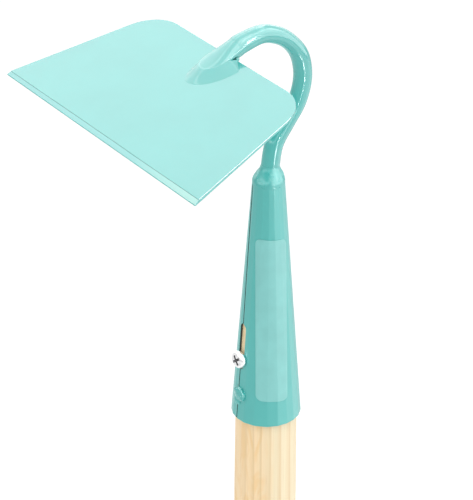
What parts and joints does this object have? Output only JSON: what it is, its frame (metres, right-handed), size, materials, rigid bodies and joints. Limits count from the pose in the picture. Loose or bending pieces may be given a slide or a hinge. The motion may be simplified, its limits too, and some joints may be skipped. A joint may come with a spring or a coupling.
{
  "type": "draw hoe",
  "caption": "Long-handled draw hoe: flat steel blade welded to a round gooseneck, rolled socket, wooden pole, dipped grip and cord loop.",
  "frame": {"origin": "on the pole's axis at the middle of the grip, where a hand holds the tool", "axes": "+Z along the pole towards the head, -Y towards the cutting edge, X across the blade"},
  "size_m": [0.15, 0.1452, 1.7012],
  "materials": {
    "turquoise_paint": "gloss",
    "zinc": "bright zinc plate",
    "label_film": "satin film",
    "pine": "sanded, unvarnished",
    "pink_dip": "satin dipped coat",
    "cord": "waxed cord"
  },
  "bodies": {
    "hoe": {"blade": "turquoise_paint", "neck": "turquoise_paint", "tongue_weld": "turquoise_paint", "socket_weld": "turquoise_paint", "socket": "turquoise_paint", "seam_tack": "turquoise_paint", "socket_screw": "zinc", "label": "label_film", "pole": "pine", "grip": "pink_dip"},
    "hang_loop": {"hang_cord": "cord", "cord_knot": "cord"}
  },
  "joints": [
    {"name": "hang_loop_swing", "type": "hinge", "parent": "hoe", "child": "hang_loop", "pos_m": [0, 0, -0.128], "axis": [0.6428, 0.766, 0], "range_deg": [-220, 60]}
  ]
}
